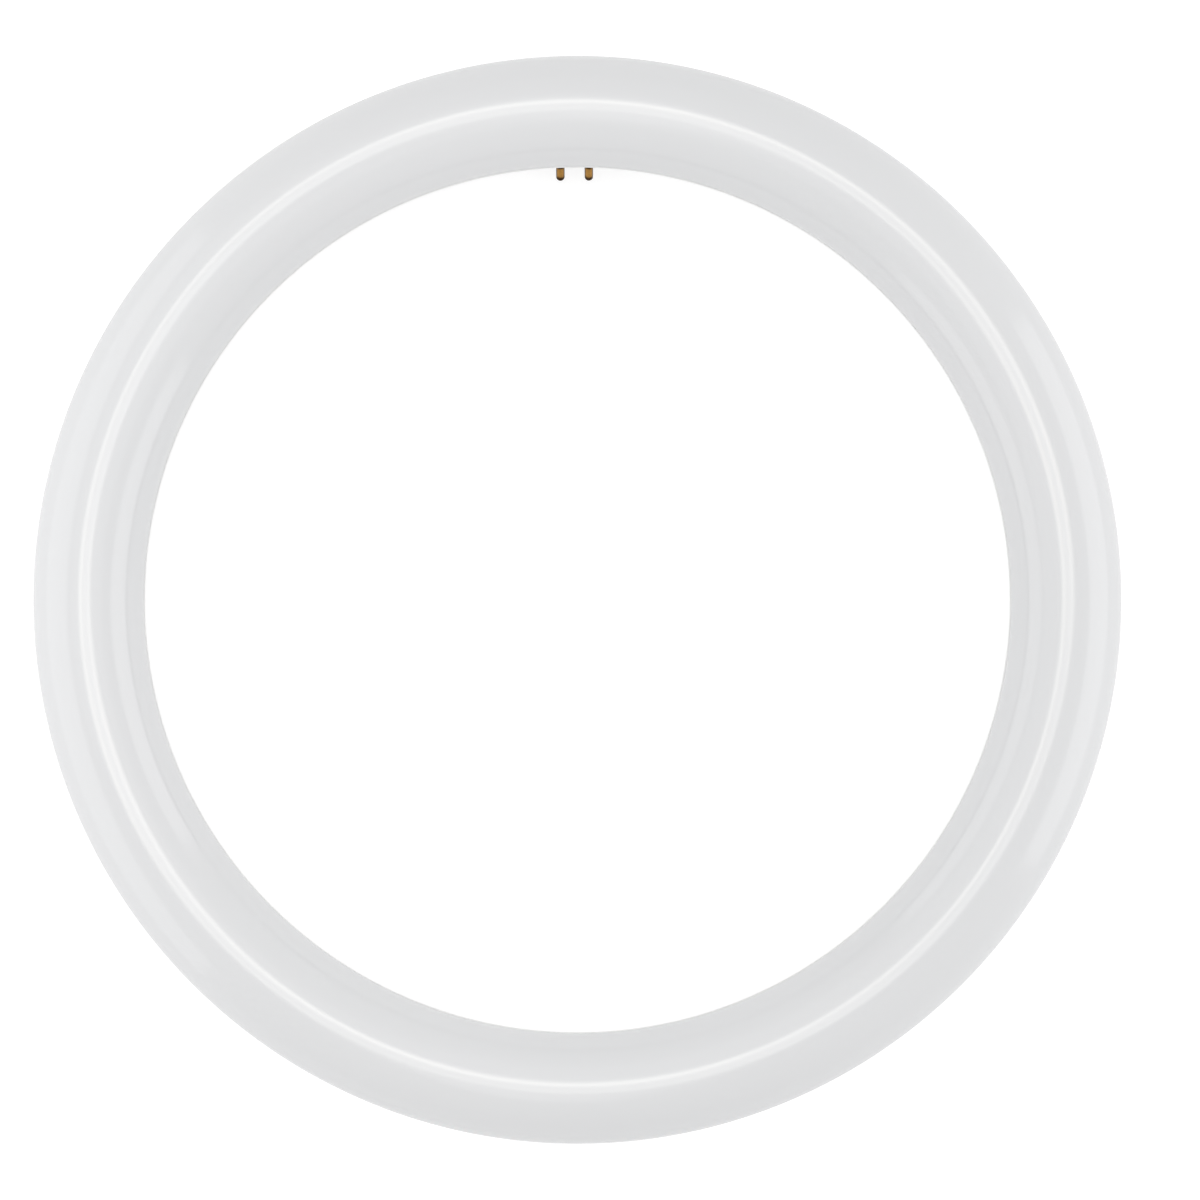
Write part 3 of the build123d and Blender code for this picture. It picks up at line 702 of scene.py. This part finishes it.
# The brass turns to the dark brown of painted shade and tarnish where the mask is full.
shaded_and_browned = nodes.new("ShaderNodeMix")
shaded_and_browned.data_type = "RGBA"
shaded_and_browned.inputs["B"].default_value = (*tarnish_and_shade_colour, 1)
dulled = math_node(
    turned_brass.node_tree,
    "MULTIPLY_ADD",
    darkened.outputs["Mask"],
    tarnish_and_shade_roughness,
    nodes["Group"].outputs["Roughness"],
)
for source, target in (
    (to_base.outputs["Vector"], rings.inputs[0]),
    (rings.outputs["Vector"], nodes["Group"].inputs["Vector"]),
    (to_base.outputs["Vector"], darkened.inputs["Vector"]),
    (darkened.outputs["Mask"], shaded_and_browned.inputs["Factor"]),
    (nodes["Group"].outputs["Colour"], shaded_and_browned.inputs["A"]),
    (shaded_and_browned.outputs["Result"], nodes["Principled BSDF"].inputs["Base Color"]),
    (dulled, nodes["Principled BSDF"].inputs["Roughness"]),
):
    links.new(source, target)
collar_radius = 0.0019
collar_back = 0.0103
tail_radius = 0.0008
tail_end = 0.0083
tail_bevel = 0.0002
end_centre = pin_end - pin_radius
pin_profile = [
    (0, tail_end),
    (tail_radius - tail_bevel, tail_end),
    (tail_radius, tail_end + tail_bevel),
    (tail_radius, collar_back),
    (collar_radius, collar_back),
    (collar_radius, pocket_floor),
    (shank_radius, pocket_floor),
    (shank_radius, block_face - shank_bevel),
    (shank_radius - shank_bevel, block_face),
    (pin_radius, block_face),
]
pin_profile += [(r, end_centre + z) for r, z in arc(pin_radius, 0, 90, 10)[:-1]] + [(0, pin_end)]
pin = turned(pin_profile, 48)
for (x, y), node in zip(
    pin_places,
    (
        "contact_pin_front_left",
        "contact_pin_front_right",
        "contact_pin_back_left",
        "contact_pin_back_right",
    ),
):
    place = base_frame @ Matrix.Translation((x, y, 0))
    piece(f"turned_{node}", moved(pin, place), turned_brass, "brass", node)

# Base screws. Two zinc-plated self-tapping screws with a cross recess, driven from outside
# through the sunk seats into the block's ears. Their threads are rolled.
zinc_plate = finish(
    "zinc_plate",
    colour=(0.62, 0.63, 0.65), shade=(0.50, 0.505, 0.51),
    roughness=0.28, spread=0.14, drift_scale=1500, grain_scale=9000, bump=0.15, depth=0.00001,
    metallic=1.0,
)


def tapping_screw(shank, length, head, head_height, threads):
    """A screw that points down, its head standing on the zero level, with a cross recess."""
    root = shank * 0.80
    pitch = (length - 0.0008) / threads
    profile = [(0, -length), (root * 0.5, -length + 0.0002)]
    for n in range(threads):
        low = -length + 0.0005 + n * pitch
        profile += [(root, low), (shank, low + pitch * 0.4), (shank, low + pitch * 0.55)]
    profile += [(root, -0.0003), (root, 0), (head, 0), (head, head_height * 0.45)]
    profile += [(head * 0.95, head_height * 0.70), (head * 0.80, head_height * 0.88)]
    profile += [(head * 0.50, head_height * 0.98), (0, head_height)]
    arm = head * 0.55
    half_slot = head * 0.13
    cross = []
    for scale, height in ((0.35, head_height * 0.25), (1, head_height * 1.1)):
        corners = [(arm * scale, half_slot), (half_slot, half_slot), (half_slot, arm * scale)]
        loop = []
        for quarter in range(4):
            spin = Matrix.Rotation(quarter * pi / 2, 3, "Z")
            loop += [spin @ Vector((x, y, height)) for x, y in corners]
        cross.append([tuple(point) for point in loop])
    return combined(turned(profile, 36), loft(cross), "DIFFERENCE")


base_screw = tapping_screw(
    shank=0.0011, length=0.0050, head=0.0021, head_height=0.0014, threads=5
)
base_screw.transform(Matrix.Translation((base_screw_reach, 0, base_screw_floor)))
base_pair = grown(
    array_tree, base_screw, count=2, first_azimuth=0.0, step=180.0, material=zinc_plate
)
base_pair.transform(base_frame)
piece("base_screw_pair", base_pair, zinc_plate, "steel", "base_screws")

# Pin retainer and straps. A plate of the block's own plastic closes its pocket behind the pins'
# collars, and each of two brass straps, punched from sheet, joins the tails of the pins of a side.
strap_brass = finish(
    "strap_brass",
    colour=(0.62, 0.42, 0.16), shade=(0.50, 0.33, 0.12),
    roughness=0.34, spread=0.10, drift_scale=500, grain_scale=4000, bump=0.20, depth=0.00001,
    metallic=1.0,
)


def paint(material, *nodes):
    """Gives nodes that are shown as they are their material."""
    for node in nodes:
        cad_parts[node].material_slots[0].material = material


paint(base_plastic, "pin_retainer")
paint(strap_brass, "pin_strap_left", "pin_strap_right")

# Driver board. Glass laminate, cut as a curved strip, that stands on posts of the housing. Its
# parts are soldered to it: moulded packages, can capacitors in a shrunk sleeve, and two coils.
laminate = finish(
    "laminate",
    colour=(0.62, 0.54, 0.30), shade=(0.50, 0.45, 0.24),
    roughness=0.45, spread=0.12, drift_scale=300, grain_scale=2400, bump=0.30, depth=0.00003,
)
moulding_compound = finish(
    "moulding_compound",
    colour=(0.030, 0.030, 0.032), shade=(0.045, 0.045, 0.045),
    roughness=0.50, spread=0.12, drift_scale=600, grain_scale=9000, bump=0.30, depth=0.00002,
)
heat_shrink = finish(
    "heat_shrink",
    colour=(0.035, 0.038, 0.045), shade=(0.060, 0.062, 0.070),
    roughness=0.28, spread=0.10, drift_scale=260, grain_scale=3000, bump=0.20, depth=0.00002,
)
dipped_blue = finish(
    "dipped_blue",
    colour=(0.05, 0.12, 0.42), shade=(0.04, 0.09, 0.33),
    roughness=0.30, spread=0.12, drift_scale=300, grain_scale=1800, bump=0.30, depth=0.00004,
)
potted_box = finish(
    "potted_box",
    colour=(0.60, 0.42, 0.06), shade=(0.52, 0.36, 0.05),
    roughness=0.36, spread=0.10, drift_scale=240, grain_scale=6000, bump=0.20, depth=0.00002,
)
fuse_coating = finish(
    "fuse_coating",
    colour=(0.16, 0.30, 0.20), shade=(0.12, 0.25, 0.17),
    roughness=0.42, spread=0.12, drift_scale=420, grain_scale=5000, bump=0.35, depth=0.00003,
)
ferrite = finish(
    "ferrite",
    colour=(0.055, 0.055, 0.060), shade=(0.085, 0.083, 0.085),
    roughness=0.55, spread=0.20, drift_scale=900, grain_scale=5000, bump=0.60, depth=0.00004,
    metallic=0.2,
)
paint(laminate, "driver_board")
paint(moulding_compound, "bridge_rectifier", "driver_chip", "output_diode", "chip_resistors")
paint(heat_shrink, "input_capacitor", "output_capacitor")
paint(dipped_blue, "varistor")
paint(potted_box, "film_capacitor")
paint(fuse_coating, "fuse_resistor")
paint(ferrite, "filter_inductor_core", "power_inductor_core")

# Windings. Enamelled copper wire, wound turn by turn in the waist of each drum core. The outer
# layer is made as wire, and the layers under it as one plain body.
enamelled_copper = finish(
    "enamelled_copper",
    colour=(0.62, 0.26, 0.10), shade=(0.50, 0.19, 0.07),
    roughness=0.26, spread=0.10, drift_scale=800, grain_scale=3000, bump=0.15, depth=0.00001,
    metallic=1.0,
)
winding_tree, given, realize = node_tree(
    "winding",
    radius="NodeSocketFloat",
    height="NodeSocketFloat",
    turns="NodeSocketFloat",
    wire="NodeSocketFloat",
)
helix = winding_tree.nodes.new("GeometryNodeCurveSpiral")
helix.inputs["Resolution"].default_value = 24
wire_section = winding_tree.nodes.new("GeometryNodeCurvePrimitiveCircle")
wire_section.inputs["Resolution"].default_value = 8
wire = winding_tree.nodes.new("GeometryNodeCurveToMesh")
wire.inputs["Fill Caps"].default_value = True
with_body = winding_tree.nodes.new("GeometryNodeJoinGeometry")
for source, target in (
    (given.outputs["radius"], helix.inputs["Start Radius"]),
    (given.outputs["radius"], helix.inputs["End Radius"]),
    (given.outputs["height"], helix.inputs["Height"]),
    (given.outputs["turns"], helix.inputs["Rotations"]),
    (given.outputs["wire"], wire_section.inputs["Radius"]),
    (helix.outputs["Curve"], wire.inputs["Curve"]),
    (wire_section.outputs["Curve"], wire.inputs["Profile Curve"]),
    (wire.outputs["Mesh"], with_body.inputs["Geometry"]),
    (given.outputs["start"], with_body.inputs["Geometry"]),
    (with_body.outputs["Geometry"], realize.inputs["Geometry"]),
):
    winding_tree.links.new(source, target)
deck_height = -0.0104
flange_thickness = 0.0012
flange_overhang = 0.00025
wire_radius = 0.00017
turn_pitch = 2.1 * wire_radius
for name, azimuth, drum_radius, drum_height in (
    ("filter_inductor_winding", 112.4, 0.0040, 0.0070),
    ("power_inductor_winding", 124.9, 0.0043, 0.0080),
):
    coil_radius = drum_radius - flange_overhang - wire_radius
    coil_bottom = flange_thickness + wire_radius
    coil_height = drum_height - 2 * coil_bottom
    inner_turns = turned(
        [(coil_radius, coil_bottom), (coil_radius, coil_bottom + coil_height)], 32
    )
    coil = grown(
        winding_tree,
        inner_turns,
        radius=coil_radius,
        height=coil_height,
        turns=float(round(coil_height / turn_pitch)),
        wire=wire_radius,
        material=enamelled_copper,
    )
    for point in coil.vertices:
        if point.index < len(coil.vertices) - len(inner_turns.vertices):
            point.co.z += coil_bottom
    spin = Matrix.Rotation(radians(azimuth), 4, "Z")
    coil.transform(spin @ Matrix.Translation((ring_radius, 0, deck_height)))
    piece(f"{name}_turns", coil, enamelled_copper, "copper", name)

# Insulating film. A strip of clear polyester, cut from a roll, that lies between the driver's
# parts and the metal of the LED boards.
polyester_film = finish(
    "polyester_film",
    colour=(0.80, 0.80, 0.77), shade=(0.72, 0.73, 0.71),
    roughness=0.20, spread=0.08, drift_scale=90, grain_scale=1500, bump=0.20, depth=0.00003,
)
paint(polyester_film, "driver_insulator")

# LED boards. Four arcs punched from aluminium sheet under a white solder mask, laid on the
# gussets end to end.
solder_mask = finish(
    "solder_mask",
    colour=(0.86, 0.86, 0.84), shade=(0.82, 0.825, 0.81),
    roughness=0.34, spread=0.10, drift_scale=60, grain_scale=4200, bump=0.20, depth=0.00002,
)
board_top = -0.0005
paint(solder_mask, "led_board_1", "led_board_2", "led_board_3", "led_board_4")

# LEDs. White moulded packages, 24 to a board and soldered to it, each with a well of yellow
# phosphor in its top.
led_white = finish(
    "led_white",
    colour=(0.85, 0.85, 0.83), shade=(0.80, 0.80, 0.78),
    roughness=0.38, spread=0.08, drift_scale=900, grain_scale=9000, bump=0.15, depth=0.00001,
)
phosphor = finish(
    "phosphor",
    colour=(0.88, 0.66, 0.08), shade=(0.84, 0.58, 0.06),
    roughness=0.30, spread=0.10, drift_scale=1500, grain_scale=16000, bump=0.30, depth=0.00001,
)
led_length = 0.0035
led_width = 0.0028
led_corner = 0.0002
led_bevel = 0.00008
led_top = board_top + 0.0007
package = rounded_box(
    led_length,
    led_width,
    led_corner,
    [(board_top, 0), (led_top - led_bevel, 0), (led_top, led_bevel)],
    2,
)
well_corner = 0.0006
well_floor = led_top - 0.0002
well_start_inset = 0.0005
well_stop_inset = 0.0003
well = rounded_box(
    led_length,
    led_width,
    well_corner,
    [(well_floor, well_start_inset), (led_top + 0.0001, well_stop_inset)],
    4,
)
package = combined(package, well, "DIFFERENCE")
fill_top = led_top - 0.00006
fill_start_inset = 0.00052
fill_stop_inset = 0.00042
glow_fill = rounded_box(
    led_length,
    led_width,
    well_corner,
    [(well_floor, fill_start_inset), (fill_top, fill_stop_inset)],
    4,
)
at_rail = Matrix.Translation((ring_radius, 0, 0))
leds_to_board = 24
led_step = board_span / leds_to_board
for number in range(1, board_count + 1):
    first = board_seam + board_span * (number - 1) + led_step / 2
    bodies = grown(
        array_tree,
        moved(package, at_rail),
        count=leds_to_board,
        first_azimuth=first,
        step=led_step,
        material=led_white,
    )
    fills = grown(
        array_tree,
        moved(glow_fill, at_rail),
        count=leds_to_board,
        first_azimuth=first,
        step=led_step,
        material=phosphor,
    )
    row = piece(f"led_row_{number}", joined(bodies, fills), led_white, "led_body", f"leds_{number}")
    row.data.materials.append(phosphor)
    for face in row.data.polygons:
        if face.normal.z > 0.9 and abs(face.center.z - fill_top) < 0.00002:
            face.material_index = 1

# Board screws and jumpers. Two small zinc-plated screws hold each board to the housing's bosses,
# and tinned links are soldered over three of the four seams.
tinned_link = finish(
    "tinned_link",
    colour=(0.70, 0.70, 0.69), shade=(0.58, 0.58, 0.57),
    roughness=0.30, spread=0.16, drift_scale=900, grain_scale=5000, bump=0.40, depth=0.00003,
    metallic=1.0,
)
board_screw = tapping_screw(
    shank=0.0010, length=0.0050, head=0.0019, head_height=0.0012, threads=5
)
board_screw.transform(Matrix.Translation((0, 0, board_top)))
board_screws = grown(
    array_tree,
    moved(board_screw, *pair),
    count=board_count,
    first_azimuth=board_seam,
    step=board_span,
    material=zinc_plate,
)
piece("board_screw_set", board_screws, zinc_plate, "steel", "board_screws")
paint(tinned_link, "board_jumpers")

# Leads. Silicone-insulated wires, soldered at both ends. Two run from the pin straps to the
# driver, and two from the driver to the first LED board.
red_silicone = finish(
    "red_silicone",
    colour=(0.55, 0.04, 0.03), shade=(0.48, 0.03, 0.025),
    roughness=0.42, spread=0.08, drift_scale=200, grain_scale=3000, bump=0.25, depth=0.00002,
)
white_silicone = finish(
    "white_silicone",
    colour=(0.78, 0.78, 0.76), shade=(0.72, 0.72, 0.70),
    roughness=0.42, spread=0.08, drift_scale=200, grain_scale=3000, bump=0.25, depth=0.00002,
)
paint(red_silicone, "lead_live", "lead_led_positive")
paint(white_silicone, "lead_neutral", "lead_led_negative")

# Diffuser. One milky polycarbonate shell with a glossy skin, moulded in a full circle. A tongue
# with a small bead runs under both of its edges and snaps into the housing.
opal_plastic = finish(
    "opal_plastic",
    colour=(0.755, 0.756, 0.768), shade=(0.732, 0.740, 0.750),
    roughness=0.45, spread=0.05, drift_scale=7, grain_scale=700, bump=0.04, depth=0.00002,
    specular_ior_level=0.15, coat_weight=0.45, coat_roughness=0.13, coat_ior=2.5,
)
diffuser_radius = 0.0151
diffuser_wall = 0.0015
diffuser_inside = diffuser_radius - diffuser_wall
diffuser_edge = 0.00025
tongue_thickness = 0.0009
shoulder_height = seam_height + 0.0026
edge_angle = degrees(asin(seam_height / diffuser_radius))
shoulder_angle = degrees(asin(shoulder_height / diffuser_inside))
outside = arc(diffuser_radius, 90, edge_angle, 64)
tongue = [
    (tongue_reach, seam_height),
    (tongue_reach, tongue_tip + bead_height + bead_size),
    (tongue_reach + bead_size, tongue_tip + bead_height),
    (tongue_reach, tongue_tip),
    (tongue_reach - tongue_thickness, tongue_tip),
    (tongue_reach - tongue_thickness, shoulder_height - tongue_thickness),
]
inside = arc(diffuser_inside, shoulder_angle, 90, 30)
right_half = outside[1:] + tongue + inside[:-1]
top = [(0, diffuser_radius)]
under_top = [(0, diffuser_inside)]
left_half = [(-x, y) for x, y in reversed(right_half)]
diffuser_section = softened(top + right_half + under_top + left_half, diffuser_edge)
shell = swept(diffuser_section, opal_plastic)
piece("opal_shell", shell, opal_plastic, "opal", "diffuser")

# Stage. A pale floor that the lamp rests on, so it touches the two rear pins and the far side's
# land. Straight, mirrored or through glass it is seen as white, with the lamp's shadow.
rear_tip = Vector((0, 0.12276, -0.01907))
far_land = Vector((0, -ring_radius - land_half_width, land_height))
slope = atan2(rear_tip.z - far_land.z, rear_tip.y - far_land.y)


def seen_mask(tree):
    """A share of a tree that is 1 for what is seen straight, mirrored or through glass."""
    path = tree.nodes.new("ShaderNodeLightPath")
    share = path.outputs["Is Camera Ray"]
    for title in ("Is Glossy Ray", "Is Transmission Ray"):
        share = math_node(tree, "MAXIMUM", share, path.outputs[title])
    return share


floor_colour = (0.88, 0.88, 0.88)
seen_colour = (0.38, 0.38, 0.38)
seen_glow = 0.74
floor_paint = bpy.data.materials.new("floor_paint")
floor_paint.use_nodes = True
nodes = floor_paint.node_tree.nodes
links = floor_paint.node_tree.links
nodes.remove(nodes["Principled BSDF"])
mask = seen_mask(floor_paint.node_tree)
shade = nodes.new("ShaderNodeMix")
shade.data_type = "RGBA"
shade.inputs["A"].default_value = (*floor_colour, 1)
shade.inputs["B"].default_value = (*seen_colour, 1)
matt = nodes.new("ShaderNodeBsdfDiffuse")
glow = nodes.new("ShaderNodeEmission")
lift = math_node(floor_paint.node_tree, "MULTIPLY", mask, seen_glow)
total = nodes.new("ShaderNodeAddShader")
links.new(mask, shade.inputs["Factor"])
links.new(shade.outputs["Result"], matt.inputs["Color"])
links.new(lift, glow.inputs["Strength"])
links.new(matt.outputs["BSDF"], total.inputs[0])
links.new(glow.outputs["Emission"], total.inputs[1])
from_below = nodes.new("ShaderNodeNewGeometry")
clear = nodes.new("ShaderNodeBsdfTransparent")
one_sided = nodes.new("ShaderNodeMixShader")
links.new(from_below.outputs["Backfacing"], one_sided.inputs["Fac"])
links.new(total.outputs["Shader"], one_sided.inputs[1])
links.new(clear.outputs["BSDF"], one_sided.inputs[2])
links.new(one_sided.outputs["Shader"], nodes["Material Output"].inputs["Surface"])
floor_reach = 6
corners = [
    (-floor_reach, -floor_reach, 0),
    (floor_reach, -floor_reach, 0),
    (floor_reach, floor_reach, 0),
    (-floor_reach, floor_reach, 0),
]
floor_mesh = bpy.data.meshes.new("floor")
floor_mesh.from_pydata(corners, [], [(0, 1, 2, 3)])
floor_mesh.transform(Matrix.Translation(rear_tip) @ Matrix.Rotation(slope, 4, "X"))
floor_mesh.materials.append(floor_paint)
floor = bpy.data.objects.new("floor", floor_mesh)
scene.collection.objects.link(floor)

# Light. An even pale room with a soft panel to the left, to the right and above. Overhead hang a
# soft ring-shaped lamp, open at its lower right, and a faint bar that lacks its lower right
# corner: the tube's crest mirrors both.
room_level = 0.758
world = bpy.data.worlds.new("room")
scene.world = world
world.use_nodes = True
nodes = world.node_tree.nodes
links = world.node_tree.links
mask = seen_mask(world.node_tree)
level = nodes.new("ShaderNodeMapRange")
level.inputs["To Min"].default_value = room_level
level.inputs["To Max"].default_value = 1.0
direction = nodes.new("ShaderNodeTexCoord")
upright = nodes.new("ShaderNodeSeparateXYZ")
links.new(mask, level.inputs["Value"])
links.new(direction.outputs["Generated"], upright.inputs["Vector"])
room_math = partial(math_node, world.node_tree)
soft_step = partial(step_node, world.node_tree)

# Places overhead are given as on a ceiling one metre up, in metres across to the right and along
# to the top. An edge is given by where a lamp's light is off and where it is full.
ring_centre = (-0.025, 0.073)
ring_outer_edge = (0.30, 0.19)
ring_inner_edge = (0.09, 0.15)
ring_middle_share = 0.33
ring_gap_direction = (0.34, -0.94)
ring_gap_edge = (0.08, 0.03)
ring_radiance = 1.85
bar_middle = 0.02
bar_side_edge = (0.13, 0.08)
bar_end_edge = (0.46, 0.38)
cut_across = (0.01, 0.045)
cut_along = (-0.08, -0.11)
bar_radiance = 0.5
ring_tint = (1, 0.985, 0.94)
height = room_math("MAXIMUM", upright.outputs["Z"], 0.05)
across = room_math("DIVIDE", upright.outputs["X"], height)
along = room_math("DIVIDE", upright.outputs["Y"], height)
off_x = room_math("SUBTRACT", across, ring_centre[0])
off_y = room_math("SUBTRACT", along, ring_centre[1])
square = room_math("MULTIPLY_ADD", off_x, off_x, room_math("MULTIPLY", off_y, off_y))
apart = room_math("SQRT", square)
inside_outer = soft_step(apart, *ring_outer_edge)
ring = room_math("MULTIPLY", inside_outer, soft_step(apart, *ring_inner_edge, ring_middle_share))
below = room_math("MULTIPLY", along, ring_gap_direction[1])
lower_right = room_math("MULTIPLY_ADD", across, ring_gap_direction[0], below)
ring = room_math("MULTIPLY", ring, soft_step(lower_right, *ring_gap_edge))
bar_x = room_math("ABSOLUTE", room_math("SUBTRACT", across, bar_middle))
bar_y = room_math("ABSOLUTE", along)
bar = room_math("MULTIPLY", soft_step(bar_x, *bar_side_edge), soft_step(bar_y, *bar_end_edge))
cut_corner = room_math("MULTIPLY", soft_step(across, *cut_across), soft_step(along, *cut_along))
bar = room_math("MULTIPLY", bar, room_math("SUBTRACT", 1, cut_corner))
lamps = room_math("MULTIPLY_ADD", bar, bar_radiance, room_math("MULTIPLY", ring, ring_radiance))
path = nodes.new("ShaderNodeLightPath")
unseen = room_math("SUBTRACT", 1, path.outputs["Is Camera Ray"])
room_light = room_math("MULTIPLY_ADD", lamps, unseen, level.outputs["Result"])
lamp_colour = nodes.new("ShaderNodeMix")
lamp_colour.data_type = "RGBA"
lamp_colour.inputs["A"].default_value = (1, 1, 1, 1)
lamp_colour.inputs["B"].default_value = (*ring_tint, 1)
links.new(room_math("MULTIPLY", ring, unseen), lamp_colour.inputs["Factor"])
links.new(lamp_colour.outputs["Result"], nodes["Background"].inputs["Color"])
links.new(room_light, nodes["Background"].inputs["Strength"])


def panel(name, place, aim, width, height, radiance):
    """A rectangular lamp of a given brightness, where 1 is white, that faces a point."""
    lamp = bpy.data.lights.new(name, "AREA")
    lamp.shape = "RECTANGLE"
    lamp.size = width
    lamp.size_y = height
    lamp.energy = radiance * pi * width * height
    shown = bpy.data.objects.new(name, lamp)
    shown.location = place
    shown.rotation_euler = (Vector(aim) - Vector(place)).to_track_quat("-Z", "Y").to_euler()
    shown.visible_camera = False
    scene.collection.objects.link(shown)


panel(
    "left_panel", (-0.39, 0, 0.16), aim=(0, 0, 0.16), width=0.77, height=0.32, radiance=0.48
)
panel(
    "right_panel",
    (0.765, 0.01, 0.335), aim=(0, 0.01, 0.335), width=0.93, height=0.67, radiance=0.67,
)
panel(
    "upper_panel",
    (-0.13, 0.12, 0.35), aim=(-0.13, 0.12, 0), width=0.40, height=0.40, radiance=0.18,
)

# Camera. Straight above the ring's centre, as in the photograph, which it matches in the ring's
# size, in the few pixels by which the ring is off the middle, and in its small turn
eye_height = 1.1
camera_turn = -0.377
view = bpy.data.cameras.new("camera")
view.sensor_width = 36
view.lens = 119.8
view.shift_x = 0.01883
view.shift_y = -0.00017
camera = bpy.data.objects.new("camera", view)
camera.location = (0, 0, eye_height)
camera.rotation_euler = (0, 0, radians(camera_turn))
scene.collection.objects.link(camera)
scene.camera = camera
scene.view_settings.view_transform = "Standard"
